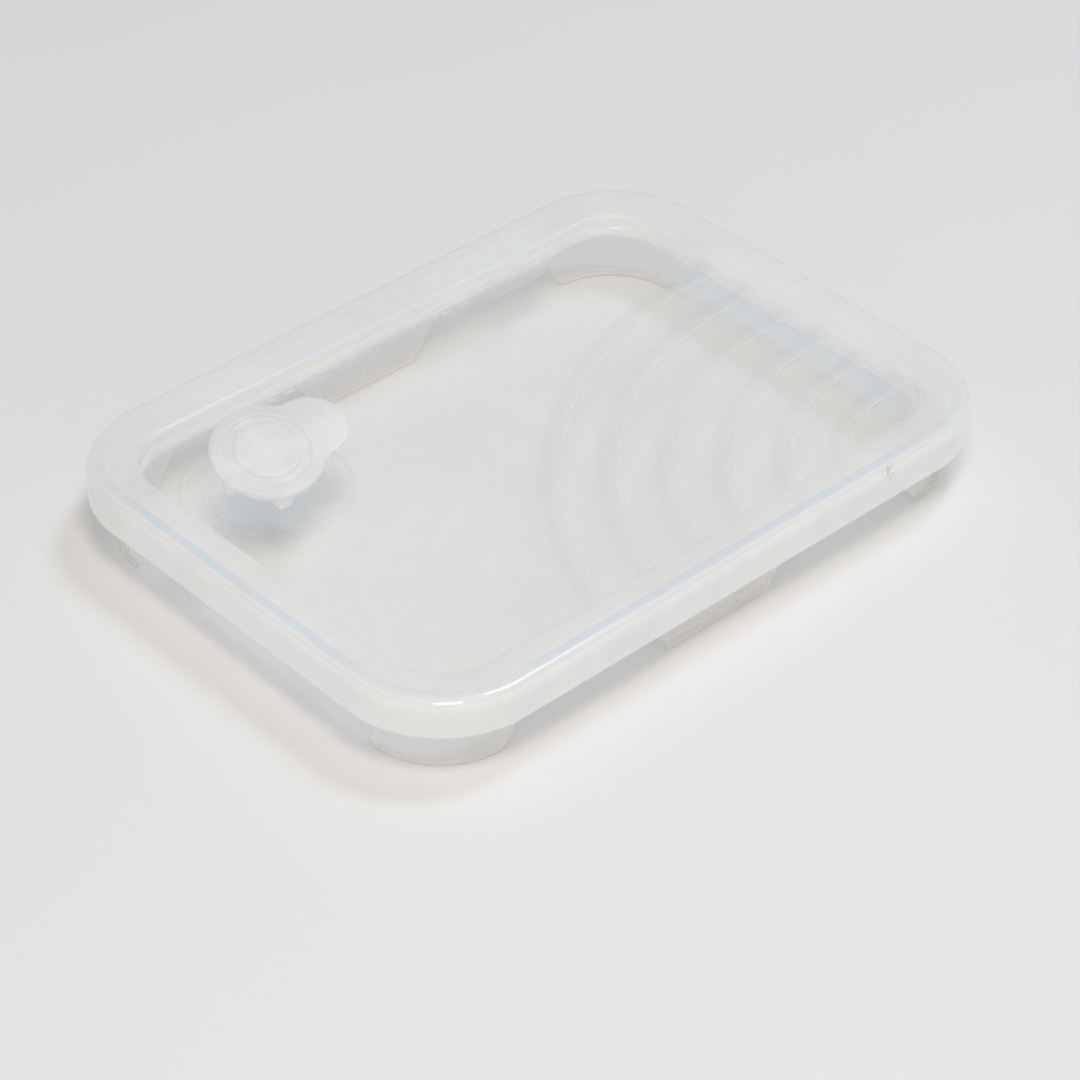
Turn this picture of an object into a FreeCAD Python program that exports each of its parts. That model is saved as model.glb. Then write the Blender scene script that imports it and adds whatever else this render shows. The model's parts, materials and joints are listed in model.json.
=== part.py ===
import FreeCAD, Part
import math
import os

import Sketcher

# A rectangular silicone lid for a flat box, with a vent plug.
# X runs along the lid, Y across it and Z up. The origin is the middle of the lid's outline, on the
# surface that its six feet stand on. All sizes are in millimetres.

doc = FreeCAD.newDocument("silicone_lid")
sheet = doc.addObject("Spreadsheet::Sheet", "sizes")

SIZES = {
    # outline and levels
    "lid_length": 180.0,
    "lid_width": 132.6,
    "corner_radius": 26.0,
    "rim_bottom": 12.7,
    "crown_under": 19.4,
    "crown_top": 22.0,
    "panel_under": 15.4,
    "panel_top": 17.0,
    # the hood round the edge: insets are measured inwards from the outer wall
    "wall_thickness": 1.6,
    "plateau_inset": 4.0,
    "plateau_end_inset": 11.0,
    "plateau_end_drop": 0.9,
    "inner_edge_drop": 1.4,
    "hood_inset": 12.0,
    "shoulder_radius": 2.4,
    "lip_radius": 0.5,
    # feet
    "foot_inset": 6.0,
    "foot_thickness": 1.6,
    "foot_flare": 0.62,
    "side_foot_half": 15.3,
    "foot_corner_radius": 3.0,
    # raised ripple lines on the panel
    "ripple_centre_x": 72.0,
    "ripple_centre_y": -84.4,
    "ripple_centre_step": 1.9,
    "ripple_first_radius": 105.0,
    "ripple_radius_step": 14.4,
    "ripple_width": 0.9,
    "ripple_height": 0.35,
    # vent seat in the panel
    "vent_x": -57.3,
    "vent_y": 26.0,
    "seat_outer_radius": 15.8,
    "seat_recess_radius": 14.2,
    "seat_bore_radius": 12.1,
    "seat_ledge": 16.0,
    "seat_bottom": 14.4,
    "seat_ring_radius": 20.0,
    "seat_ring_width": 1.0,
    "seat_ring_height": 0.3,
    # vent plug, modelled pressed home and level
    "plug_gap": 0.05,
    "flange_radius": 13.05,
    "flange_thickness": 2.3,
    "flange_edge_radius": 0.45,
    "groove_outer_radius": 10.0,
    "groove_floor": 1.4,
    "button_radius": 7.7,
    "button_height": 2.6,
    "button_edge_radius": 0.6,
    "tab_radius": 8.3,
    "tab_offset": 12.6,
    "tab_neck_radius": 5.0,
    "tab_under": 1.4,
    "tab_top": 2.2,
    "hub_radius": 4.0,
    "fin_top_radius": 11.3,
    "fin_bottom_radius": 10.0,
    "fin_thickness": 3.0,
    "fin_depth": 7.8,
    "fin_corner_radius": 1.6,
    "fin_turn": -10.0,
    # how the plug stands: rocked up about a level line on the side it leans to
    "plug_open_angle": 16.0,
    "plug_lean_azimuth": 258.7,
    "plug_pivot_reach": 37.5,
    # generic raised marks in place of lettering
    "pad_x": 40.0,
    "pad_y": 50.2,
    "pad_length": 17.0,
    "pad_width": 6.0,
    "pad_slant": 3.0,
    "mark_height": 0.3,
    "bead_y": 51.0,
    "bead_start_x": -37.0,
    "bead_length": 3.6,
    "bead_pitch": 5.4,
    "bead_width": 0.9,
}
for row, (alias, value) in enumerate(SIZES.items(), start=1):
    sheet.set(f"A{row}", alias)
    sheet.set(f"B{row}", str(value))
    sheet.setAlias(f"B{row}", alias)
doc.recompute()

RIPPLE_COUNT = 6
BEAD_COUNT = 12

SIDES = {"left": -1, "right": 1}
ENDS = {"front": -1, "back": 1}


def size(alias):
    """The value of one cell of the sheet."""
    return float(sheet.get(alias))


def bind(obj, **formulas):
    """Tie properties of an object to formulas over the sheet's cells."""
    for name, formula in formulas.items():
        obj.setExpression(name, formula)


def new_body(label):
    body = doc.addObject("PartDesign::Body", label)
    body.Label = label
    return body


def new_sketch(body, name, role, height="0"):
    """A sketch on one of the body's own origin planes, lifted along its normal by a formula."""
    plane = next(f for f in body.Origin.OriginFeatures if f.Role == role)
    sketch = body.newObject("Sketcher::SketchObject", name)
    sketch.AttachmentSupport = [(plane, "")]
    sketch.MapMode = "FlatFace"
    sketch.setExpression("AttachmentOffset.Base.z", height)
    return sketch


def add_rounded_rectangle(sketch, tag, inset):
    """The lid's outline moved inwards by a formula, as four lines and four tangent arcs."""
    moved = sheet.evalExpression(inset)
    half_x = size("lid_length") / 2 - moved
    half_y = size("lid_width") / 2 - moved
    radius = size("corner_radius") - moved
    flat_x, flat_y = half_x - radius, half_y - radius
    corners = [
        (-flat_x, -flat_y, 180),
        (flat_x, -flat_y, 270),
        (flat_x, flat_y, 0),
        (-flat_x, flat_y, 90),
    ]
    ends = []
    arcs = []
    for x, y, start in corners:
        centre = FreeCAD.Vector(x, y, 0)
        circle = Part.Circle(centre, FreeCAD.Vector(0, 0, 1), radius)
        first, last = math.radians(start), math.radians(start + 90)
        arc = Part.ArcOfCircle(circle, first, last)
        arcs.append(sketch.addGeometry(arc, False))
        ends.append((arc.StartPoint, arc.EndPoint))
    for index in range(4):
        following = (index + 1) % 4
        line = sketch.addGeometry(Part.LineSegment(ends[index][1], ends[following][0]), False)
        sketch.addConstraint(Sketcher.Constraint("Tangent", arcs[index], 2, line, 1))
        sketch.addConstraint(Sketcher.Constraint("Tangent", line, 2, arcs[following], 1))
        direction = "Horizontal" if index % 2 == 0 else "Vertical"
        sketch.addConstraint(Sketcher.Constraint(direction, line))
    sketch.addConstraint(Sketcher.Constraint("Symmetric", arcs[0], 3, arcs[2], 3, -1, 1))
    for arc in arcs[1:]:
        sketch.addConstraint(Sketcher.Constraint("Equal", arcs[0], arc))
    along = Sketcher.Constraint("DistanceX", arcs[0], 3, arcs[1], 3, 2 * flat_x)
    across = Sketcher.Constraint("DistanceY", arcs[1], 3, arcs[2], 3, 2 * flat_y)
    turn = Sketcher.Constraint("Radius", arcs[0], radius)
    named = [
        ("length", along, "sizes.lid_length - 2 * sizes.corner_radius"),
        ("width", across, "sizes.lid_width - 2 * sizes.corner_radius"),
        ("radius", turn, f"sizes.corner_radius - ({inset})"),
    ]
    for suffix, constraint, formula in named:
        sketch.renameConstraint(sketch.addConstraint(constraint), f"{tag}_{suffix}")
        sketch.setExpression(f"Constraints.{tag}_{suffix}", formula)


def add_outline(sketch, corners):
    """A closed run of lines whose corners are pairs of formulas."""
    points = [(sheet.evalExpression(x), sheet.evalExpression(y)) for x, y in corners]
    lines = []
    for index, (x, y) in enumerate(points):
        next_x, next_y = points[(index + 1) % len(points)]
        segment = Part.LineSegment(FreeCAD.Vector(x, y, 0), FreeCAD.Vector(next_x, next_y, 0))
        lines.append(sketch.addGeometry(segment, False))
    for index, line in enumerate(lines):
        following = lines[(index + 1) % len(lines)]
        sketch.addConstraint(Sketcher.Constraint("Coincident", line, 2, following, 1))
    for index, line in enumerate(lines):
        for axis, kind in ((0, "DistanceX"), (1, "DistanceY")):
            name = f"corner{index}_{'xy'[axis]}"
            constraint = Sketcher.Constraint(kind, -1, 1, line, 1, points[index][axis])
            sketch.renameConstraint(sketch.addConstraint(constraint), name)
            sketch.setExpression(f"Constraints.{name}", corners[index][axis])


def pad(body, name, sketch, length):
    feature = body.newObject("PartDesign::Pad", name)
    feature.Profile = sketch
    feature.setExpression("Length", length)
    return feature


def fillet(body, name, base, radius, wanted):
    """Round the edges of the last feature that a test picks out."""
    doc.recompute()
    edges = [f"Edge{i}" for i, edge in enumerate(base.Shape.Edges, start=1) if wanted(edge)]
    feature = body.newObject("PartDesign::Fillet", name)
    feature.Base = (base, edges)
    feature.setExpression("Radius", radius)
    return feature


def edge_heights(edge):
    return edge.BoundBox.ZMin, edge.BoundBox.ZMax


def lies_at(edge, height):
    """True for an edge that lies level at one height."""
    low, high = edge_heights(edge)
    return abs(low - height) < 1e-4 and abs(high - height) < 1e-4


def inset_of(edge):
    """How far an edge of a ring lies inside the lid's outer wall, whichever side it is on."""
    middle = edge.valueAt((edge.FirstParameter + edge.LastParameter) / 2)
    radius = size("corner_radius")
    over_x = abs(middle.x) - (size("lid_length") / 2 - radius)
    over_y = abs(middle.y) - (size("lid_width") / 2 - radius)
    if over_x > 0 and over_y > 0:
        return radius - math.hypot(over_x, over_y)
    return radius - max(over_x, over_y)


def swept_ring(label, section):
    """A ring round the lid: a section of (inset, height) formulas carried along the outline."""
    body = new_body(label)
    spine = new_sketch(body, f"{label}_path", "XY_Plane")
    add_rounded_rectangle(spine, "path", "0")
    offset = "-(sizes.lid_width / 2 - sizes.corner_radius)"
    profile = new_sketch(body, f"{label}_section", "XZ_Plane", offset)
    add_outline(profile, [(f"-sizes.lid_length / 2 + {inset}", height) for inset, height in section])
    pipe = body.newObject("PartDesign::AdditivePipe", f"{label}_pipe")
    pipe.Profile = profile
    pipe.Spine = spine
    return body, pipe


def spans(total):
    """Start and length of a side's first corner, its straight stretch and its last corner."""
    corner = "sizes.corner_radius"
    return [
        (f"-{total} / 2", corner),
        (f"{corner} - {total} / 2", f"{total} - 2 * {corner}"),
        (f"{total} / 2 - {corner}", corner),
    ]


def stretches(label, ring):
    """A ring round the lid as four straight and four corner stretches that meet face to face."""
    pieces = []
    for end, (low_y, width) in zip(("_front", "", "_back"), spans("sizes.lid_width")):
        for side, (low_x, length) in zip(("_left", "", "_right"), spans("sizes.lid_length")):
            if not end and not side:
                continue
            name = f"{label}{end}{side}"
            block = doc.addObject("Part::Box", f"{name}_limits")
            bind(block, Length=length, Width=width, Height="sizes.crown_top")
            block.setExpression("Placement.Base.x", low_x)
            block.setExpression("Placement.Base.y", low_y)
            piece = doc.addObject("Part::Common", name)
            piece.Label = name
            piece.Base, piece.Tool = ring, block
            pieces.append(piece)
    return pieces


def make_rim_wall():
    """The outer wall of the hood, that hangs down outside the box."""
    ring, pipe = swept_ring("rim_wall_ring", [
        ("0", "sizes.rim_bottom"),
        ("sizes.wall_thickness", "sizes.rim_bottom"),
        ("sizes.wall_thickness", "sizes.crown_under"),
        ("0", "sizes.crown_under"),
    ])
    low = size("rim_bottom")
    fillet(ring, "rim_wall_lip", pipe, "sizes.lip_radius", lambda edge: lies_at(edge, low))
    return stretches("rim_wall", ring)


def make_rim_crown():
    """The top of the hood, rounded at the outside and falling gently to its inner edge."""
    ring, pipe = swept_ring("rim_crown_ring", [
        ("0", "sizes.crown_under"),
        ("sizes.hood_inset", "sizes.crown_under"),
        ("sizes.hood_inset", "sizes.crown_top - sizes.inner_edge_drop"),
        ("sizes.plateau_end_inset", "sizes.crown_top - sizes.plateau_end_drop"),
        ("sizes.plateau_inset", "sizes.crown_top"),
        ("0", "sizes.crown_top"),
    ])
    top = size("crown_top")

    def outer_shoulder(edge):
        return lies_at(edge, top) and inset_of(edge) < size("wall_thickness")

    fillet(ring, "rim_crown_shoulder", pipe, "sizes.shoulder_radius", outer_shoulder)
    return stretches("rim_crown", ring)


def make_inner_wall():
    """The wall between the crown and the sunken panel."""
    body, _ = swept_ring("inner_wall", [
        ("sizes.hood_inset - sizes.wall_thickness", "sizes.panel_under"),
        ("sizes.hood_inset", "sizes.panel_under"),
        ("sizes.hood_inset", "sizes.crown_under"),
        ("sizes.hood_inset - sizes.wall_thickness", "sizes.crown_under"),
    ])
    return body


def add_circle(sketch, tag, x, y, radius):
    """A circle whose centre and radius are formulas."""
    centre = FreeCAD.Vector(sheet.evalExpression(x), sheet.evalExpression(y), 0)
    circle = Part.Circle(centre, FreeCAD.Vector(0, 0, 1), sheet.evalExpression(radius))
    index = sketch.addGeometry(circle, False)
    named = [
        ("x", Sketcher.Constraint("DistanceX", -1, 1, index, 3, centre.x), x),
        ("y", Sketcher.Constraint("DistanceY", -1, 1, index, 3, centre.y), y),
        ("radius", Sketcher.Constraint("Radius", index, circle.Radius), radius),
    ]
    for suffix, constraint, formula in named:
        sketch.renameConstraint(sketch.addConstraint(constraint), f"{tag}_{suffix}")
        sketch.setExpression(f"Constraints.{tag}_{suffix}", formula)


def make_panel():
    """The thin sunken sheet inside the hood, with the round opening for the vent seat."""
    body = new_body("panel")
    sketch = new_sketch(body, "panel_outline", "XY_Plane", "sizes.panel_under")
    add_rounded_rectangle(sketch, "edge", "sizes.hood_inset")
    add_circle(sketch, "vent", "sizes.vent_x", "sizes.vent_y", "sizes.seat_recess_radius")
    pad(body, "panel_sheet", sketch, "sizes.panel_top - sizes.panel_under")
    return body


def revolved(label, section):
    """A turned body: a section of (radius, height) formulas, revolved about Z."""
    body = new_body(label)
    sketch = new_sketch(body, f"{label}_section", "XZ_Plane")
    add_outline(sketch, section)
    feature = body.newObject("PartDesign::Revolution", f"{label}_turn")
    feature.Profile = sketch
    feature.ReferenceAxis = (sketch, ["V_Axis"])
    feature.Angle = 360
    return body, feature


def centre_on_vent(body):
    body.setExpression("Placement.Base.x", "sizes.vent_x")
    body.setExpression("Placement.Base.y", "sizes.vent_y")


def make_vent_seat():
    """The stepped ring that the plug's flange sits in: a recess, a ledge and the vent bore."""
    body, _ = revolved("vent_seat", [
        ("sizes.seat_bore_radius", "sizes.seat_bottom"),
        ("sizes.seat_outer_radius", "sizes.seat_bottom"),
        ("sizes.seat_outer_radius", "sizes.panel_under"),
        ("sizes.seat_recess_radius", "sizes.panel_under"),
        ("sizes.seat_recess_radius", "sizes.seat_ledge"),
        ("sizes.seat_bore_radius", "sizes.seat_ledge"),
    ])
    centre_on_vent(body)
    return body


def make_seat_ring():
    """The low raised ring on the panel round the vent seat."""
    body, _ = revolved("vent_ring", [
        ("sizes.seat_ring_radius - sizes.seat_ring_width", "sizes.panel_top"),
        ("sizes.seat_ring_radius", "sizes.panel_top"),
        ("sizes.seat_ring_radius", "sizes.panel_top + sizes.seat_ring_height"),
        ("sizes.seat_ring_radius - sizes.seat_ring_width", "sizes.panel_top + sizes.seat_ring_height"),
    ])
    centre_on_vent(body)
    return body


def make_foot_band():
    """The upright band that all six feet are cut from."""
    body = new_body("foot_band")
    sketch = new_sketch(body, "foot_band_outline", "XY_Plane")
    add_rounded_rectangle(sketch, "outer", "sizes.foot_inset")
    add_rounded_rectangle(sketch, "inner", "sizes.foot_inset + sizes.foot_thickness")
    pad(body, "foot_band_wall", sketch, "sizes.crown_under")
    return body


def make_foot(label, band, wedge_limits):
    """One foot: the stretch of the band inside a wedge that widens upwards, with rounded lower corners."""
    wedge = doc.addObject("Part::Wedge", f"{label}_limits")
    bind(wedge, Ymin="0", Ymax="sizes.crown_under", **wedge_limits)
    wedge.Placement = FreeCAD.Placement(FreeCAD.Vector(), FreeCAD.Rotation(FreeCAD.Vector(1, 0, 0), 90))
    stretch = doc.addObject("Part::MultiCommon", f"{label}_stretch")
    stretch.Shapes = [band, wedge]
    doc.recompute()
    foot = doc.addObject("Part::Fillet", label)
    foot.Label = label
    foot.Base = stretch
    radius = size("foot_corner_radius")
    thickness = size("foot_thickness")
    lower_corners = [
        (index, radius, radius)
        for index, edge in enumerate(stretch.Shape.Edges, start=1)
        if lies_at(edge, 0) and abs(edge.Length - thickness) < 0.05
    ]
    foot.Edges = lower_corners
    return foot


def corner_limits(axis, sign, flat, far):
    """A wedge's limits along one of its axes, from the start of the corner's curve to past the lid."""
    flare = "sizes.foot_flare * sizes.crown_under"
    if sign > 0:
        low, high, low_above, high_above = flat, far, f"{flat} - {flare}", far
    else:
        low, high, low_above, high_above = f"-{far}", f"-{flat}", f"-{far}", f"-{flat} + {flare}"
    return {f"{axis}min": low, f"{axis}max": high, f"{axis}2min": low_above, f"{axis}2max": high_above}


def make_corner_foot(side, end, band):
    flat_x = "(sizes.lid_length / 2 - sizes.corner_radius)"
    flat_y = "(sizes.lid_width / 2 - sizes.corner_radius)"
    along = corner_limits("X", SIDES[side], flat_x, "sizes.lid_length / 2")
    across = corner_limits("Z", -ENDS[end], flat_y, "sizes.lid_width / 2")
    return make_foot(f"corner_foot_{end}_{side}", band, {**along, **across})


def make_side_foot(end, band):
    half = "sizes.side_foot_half"
    top_half = "(sizes.side_foot_half + sizes.foot_flare * sizes.crown_under)"
    near = "(sizes.lid_width / 2 - sizes.hood_inset)"
    far = "sizes.lid_width / 2"
    limits = {"Xmin": f"-{half}", "Xmax": half, "X2min": f"-{top_half}", "X2max": top_half}
    if ENDS[end] < 0:
        limits.update({"Zmin": near, "Zmax": far, "Z2min": near, "Z2max": far})
    else:
        limits.update({"Zmin": f"-{far}", "Zmax": f"-{near}", "Z2min": f"-{far}", "Z2max": f"-{near}"})
    return make_foot(f"side_foot_{end}", band, limits)


def make_ripples():
    """Low raised arcs on the panel, spreading from one corner like rings on water."""
    window = new_body("ripple_window")
    sketch = new_sketch(window, "ripple_window_outline", "XY_Plane", "sizes.panel_top")
    add_rounded_rectangle(sketch, "edge", "sizes.hood_inset")
    pad(window, "ripple_window_block", sketch, "sizes.ripple_height")
    arcs = []
    for number in range(RIPPLE_COUNT):
        radius = f"(sizes.ripple_first_radius - {number} * sizes.ripple_radius_step)"
        rounds = []
        for name, formula in (("outer", radius), ("inner", f"{radius} - sizes.ripple_width")):
            cylinder = doc.addObject("Part::Cylinder", f"ripple_{number}_{name}")
            bind(cylinder, Radius=formula, Height="sizes.ripple_height")
            cylinder.setExpression("Placement.Base.x", "sizes.ripple_centre_x")
            cylinder.setExpression(
                "Placement.Base.y", f"sizes.ripple_centre_y + {number} * sizes.ripple_centre_step")
            cylinder.setExpression("Placement.Base.z", "sizes.panel_top")
            rounds.append(cylinder)
        ring = doc.addObject("Part::Cut", f"ripple_{number}_ring")
        ring.Base, ring.Tool = rounds
        arc = doc.addObject("Part::MultiCommon", f"ripple_{number}_arc")
        arc.Shapes = [ring, window]
        arcs.append(arc)
    ripples = doc.addObject("Part::Compound", "ripple_lines")
    ripples.Label = "ripple_lines"
    ripples.Links = arcs
    return ripples


def make_blank_pad():
    """A plain raised parallelogram near the back edge."""
    body = new_body("blank_pad")
    sketch = new_sketch(body, "blank_pad_outline", "XY_Plane", "sizes.panel_top")
    low = "sizes.pad_y - sizes.pad_width / 2"
    high = "sizes.pad_y + sizes.pad_width / 2"
    start = "sizes.pad_x - sizes.pad_length / 2"
    end = "sizes.pad_x + sizes.pad_length / 2"
    add_outline(sketch, [
        (f"{start} - sizes.pad_slant / 2", low),
        (f"{end} - sizes.pad_slant / 2", low),
        (f"{end} + sizes.pad_slant / 2", high),
        (f"{start} + sizes.pad_slant / 2", high),
    ])
    pad(body, "blank_pad_plate", sketch, "sizes.mark_height")
    return body


def make_bead_row():
    """A row of short plain raised dashes along the back edge."""
    dashes = []
    for number in range(BEAD_COUNT):
        dash = doc.addObject("Part::Box", f"dash_{number}")
        bind(dash, Length="sizes.bead_length", Width="sizes.bead_width", Height="sizes.mark_height")
        dash.setExpression("Placement.Base.x", f"sizes.bead_start_x + {number} * sizes.bead_pitch")
        dash.setExpression("Placement.Base.y", "sizes.bead_y - sizes.bead_width / 2")
        dash.setExpression("Placement.Base.z", "sizes.panel_top")
        dashes.append(dash)
    row = doc.addObject("Part::Compound", "bead_row")
    row.Label = "bead_row"
    row.Links = dashes
    return row


def place_plug_piece(piece):
    """Set a piece of the plug over the vent, rocked up by the open angle about its pivot line."""
    home = FreeCAD.Vector(size("vent_x"), size("vent_y"), size("seat_ledge") + size("plug_gap"))
    azimuth = math.radians(size("plug_lean_azimuth"))
    lean = FreeCAD.Vector(math.cos(azimuth), math.sin(azimuth), 0)
    axis = FreeCAD.Vector(-lean.y, lean.x, 0)
    pivot = home + lean * size("plug_pivot_reach") + FreeCAD.Vector(0, 0, size("flange_thickness"))
    rocked = FreeCAD.Placement(FreeCAD.Vector(), FreeCAD.Rotation(axis, size("plug_open_angle")), pivot)
    piece.Placement = rocked.multiply(FreeCAD.Placement(home, FreeCAD.Rotation()))


def make_plug_flange():
    """The plug's round flange, with a groove turned in its top round the button."""
    body, turn = revolved("plug_flange", [
        ("sizes.button_radius", "0"),
        ("sizes.flange_radius", "0"),
        ("sizes.flange_radius", "sizes.flange_thickness"),
        ("sizes.groove_outer_radius", "sizes.flange_thickness"),
        ("sizes.groove_outer_radius - sizes.flange_edge_radius", "sizes.groove_floor"),
        ("sizes.button_radius", "sizes.groove_floor"),
    ])
    rim = size("flange_radius")

    def outer_edge(edge):
        low, high = edge_heights(edge)
        return high - low < 1e-4 and abs(edge.BoundBox.XMax - rim) < 1e-3

    fillet(body, "plug_flange_round", turn, "sizes.flange_edge_radius", outer_edge)
    return body


def make_plug_button():
    """The raised round button in the middle of the plug."""
    body, turn = revolved("plug_button", [
        ("0", "0"),
        ("sizes.button_radius", "0"),
        ("sizes.button_radius", "sizes.button_height"),
        ("0", "sizes.button_height"),
    ])
    top = size("button_height")
    fillet(body, "plug_button_round", turn, "sizes.button_edge_radius", lambda edge: lies_at(edge, top))
    return body


def make_plug_tab():
    """The thin pull tab: a round lobe joined to the flange by two hollow necks."""
    body = new_body("plug_tab")
    sketch = new_sketch(body, "plug_tab_outline", "XY_Plane", "sizes.tab_under")
    flange, lobe, neck = size("flange_radius"), size("tab_radius"), size("tab_neck_radius")
    reach = size("tab_offset")
    to_flange, to_lobe = flange + neck, lobe + neck
    neck_x = (to_flange**2 - to_lobe**2 + reach**2) / (2 * reach)
    neck_y = math.sqrt(to_flange**2 - neck_x**2)
    up = FreeCAD.Vector(0, 0, 1)

    def arc(centre, radius, first, last):
        circle = Part.Circle(FreeCAD.Vector(centre[0], centre[1], 0), up, radius)
        return sketch.addGeometry(Part.ArcOfCircle(circle, first, last), False)

    flange_turn = math.atan2(neck_y, neck_x)
    lobe_turn = math.atan2(neck_y, neck_x - reach)
    rim_arc = arc((0, 0), flange, -flange_turn, flange_turn)
    upper = arc((neck_x, neck_y), neck, flange_turn + math.pi, lobe_turn + math.pi)
    tip = arc((reach, 0), lobe, -lobe_turn, lobe_turn)
    lower = arc((neck_x, -neck_y), neck, math.pi - lobe_turn, math.pi - flange_turn)
    joints = [(rim_arc, 2, upper, 1), (upper, 2, tip, 2), (tip, 1, lower, 1), (lower, 2, rim_arc, 1)]
    for first, first_end, second, second_end in joints:
        sketch.addConstraint(Sketcher.Constraint("Coincident", first, first_end, second, second_end))
    named = [
        ("flange", Sketcher.Constraint("Radius", rim_arc, flange), "sizes.flange_radius"),
        ("lobe", Sketcher.Constraint("Radius", tip, lobe), "sizes.tab_radius"),
        ("reach", Sketcher.Constraint("DistanceX", -1, 1, tip, 3, reach), "sizes.tab_offset"),
    ]
    for name, constraint, formula in named:
        sketch.renameConstraint(sketch.addConstraint(constraint), name)
        sketch.setExpression(f"Constraints.{name}", formula)
    pad(body, "plug_tab_plate", sketch, "sizes.tab_top - sizes.tab_under")
    return body


def make_plug_stem():
    """The plug's stem: a round hub with four tapered fins in a cross."""
    hub = doc.addObject("Part::Cylinder", "plug_hub")
    bind(hub, Radius="sizes.hub_radius", Height="sizes.fin_depth")
    hub.setExpression("Placement.Base.z", "-sizes.fin_depth")
    blades = []
    for number in range(2):
        body = new_body(f"plug_blade_{number}")
        sketch = new_sketch(body, f"plug_blade_{number}_outline", "XZ_Plane")
        add_outline(sketch, [
            ("-sizes.fin_bottom_radius", "-sizes.fin_depth"),
            ("sizes.fin_bottom_radius", "-sizes.fin_depth"),
            ("sizes.fin_top_radius", "0"),
            ("-sizes.fin_top_radius", "0"),
        ])
        blade = pad(body, f"plug_blade_{number}_plate", sketch, "sizes.fin_thickness")
        blade.Midplane = True
        low = -size("fin_depth")

        def lower_corner(edge):
            middle = edge.valueAt((edge.FirstParameter + edge.LastParameter) / 2)
            return lies_at(edge, low) and abs(middle.x) > size("hub_radius")

        fillet(body, f"plug_blade_{number}_round", blade, "sizes.fin_corner_radius", lower_corner)
        body.Placement.Rotation = FreeCAD.Rotation(FreeCAD.Vector(0, 0, 1), 90 * number)
        blades.append(body)
    cross = doc.addObject("Part::MultiFuse", "plug_cross")
    cross.Shapes = [hub] + blades
    doc.recompute()
    stem = doc.addObject("Part::Feature", "plug_stem")
    stem.Label = "plug_stem"
    turned = cross.Shape.removeSplitter()
    turned.rotate(FreeCAD.Vector(), FreeCAD.Vector(0, 0, 1), size("fin_turn"))
    stem.Shape = turned
    return stem


def lid_pieces():
    pieces = make_rim_wall() + make_rim_crown() + [
        make_inner_wall(),
        make_panel(),
        make_vent_seat(),
        make_seat_ring(),
    ]
    band = make_foot_band()
    for side in SIDES:
        for end in ENDS:
            pieces.append(make_corner_foot(side, end, band))
    for end in ENDS:
        pieces.append(make_side_foot(end, band))
    pieces += [make_ripples(), make_blank_pad(), make_bead_row()]
    return pieces


def plug_pieces():
    pieces = [make_plug_flange(), make_plug_button(), make_plug_tab(), make_plug_stem()]
    doc.recompute()
    for piece in pieces:
        place_plug_piece(piece)
    return pieces


def check(pieces):
    """Stop if any object failed to build or any sub-part's shape is unusable."""
    failed = [obj.Name for obj in doc.Objects if "Invalid" in obj.State or "Error" in obj.State]
    if failed:
        raise RuntimeError(f"these objects did not build: {failed}")
    for piece in pieces:
        if piece.Shape.isNull() or not piece.Shape.isValid():
            raise RuntimeError(f"{piece.Label} has no valid shape")


sub_parts = lid_pieces() + plug_pieces()
doc.recompute()
check(sub_parts)
os.makedirs("parts", exist_ok=True)
for sub_part in sub_parts:
    sub_part.Shape.exportStep(f"parts/{sub_part.Label}.step")
    bounds = sub_part.Shape.BoundBox
    print(f"{sub_part.Label}: {len(sub_part.Shape.Solids)} solids, {sub_part.Shape.Volume:.1f} mm3, "
          f"x {bounds.XMin:.1f}..{bounds.XMax:.1f} y {bounds.YMin:.1f}..{bounds.YMax:.1f} "
          f"z {bounds.ZMin:.1f}..{bounds.ZMax:.1f}")
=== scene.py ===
import json
import math

import bmesh
import bpy
import numpy as np
from mathutils import Matrix, Vector, noise
from mathutils.geometry import delaunay_2d_cdt


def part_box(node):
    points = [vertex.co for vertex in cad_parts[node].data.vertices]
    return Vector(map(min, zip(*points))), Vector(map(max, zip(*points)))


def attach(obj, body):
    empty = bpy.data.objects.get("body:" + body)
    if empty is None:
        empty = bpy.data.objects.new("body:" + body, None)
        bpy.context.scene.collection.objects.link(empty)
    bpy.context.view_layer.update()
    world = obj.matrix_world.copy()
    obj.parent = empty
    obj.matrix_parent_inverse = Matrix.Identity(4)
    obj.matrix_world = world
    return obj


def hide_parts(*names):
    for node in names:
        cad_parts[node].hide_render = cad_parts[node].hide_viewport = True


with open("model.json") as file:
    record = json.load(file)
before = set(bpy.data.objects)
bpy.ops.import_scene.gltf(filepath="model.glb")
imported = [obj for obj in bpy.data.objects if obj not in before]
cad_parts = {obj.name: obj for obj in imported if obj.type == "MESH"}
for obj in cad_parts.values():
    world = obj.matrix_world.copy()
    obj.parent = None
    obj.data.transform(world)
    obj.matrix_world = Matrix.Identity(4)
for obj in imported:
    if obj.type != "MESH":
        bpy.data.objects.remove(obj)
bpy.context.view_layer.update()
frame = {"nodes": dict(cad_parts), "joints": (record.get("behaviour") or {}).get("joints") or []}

# A translucent silicone lid on its six feet, with its vent plug pulled up and leaning.
# Shapes are worked out in millimetres and turned into metres when a mesh is made.

MM = 0.001
JOIN_GAP = 0.004


def cad_nodes(prefix):
    """The CAD nodes whose names start with a word."""
    return sorted(name for name in frame["nodes"] if name.startswith(prefix))


def cad_box(*nodes):
    """The lowest and highest corners of some CAD nodes, in millimetres."""
    corners = [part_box(node) for node in nodes]
    low = Vector([min(pair[0][axis] for pair in corners) for axis in range(3)])
    high = Vector([max(pair[1][axis] for pair in corners) for axis in range(3)])
    return low / MM, high / MM


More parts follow.
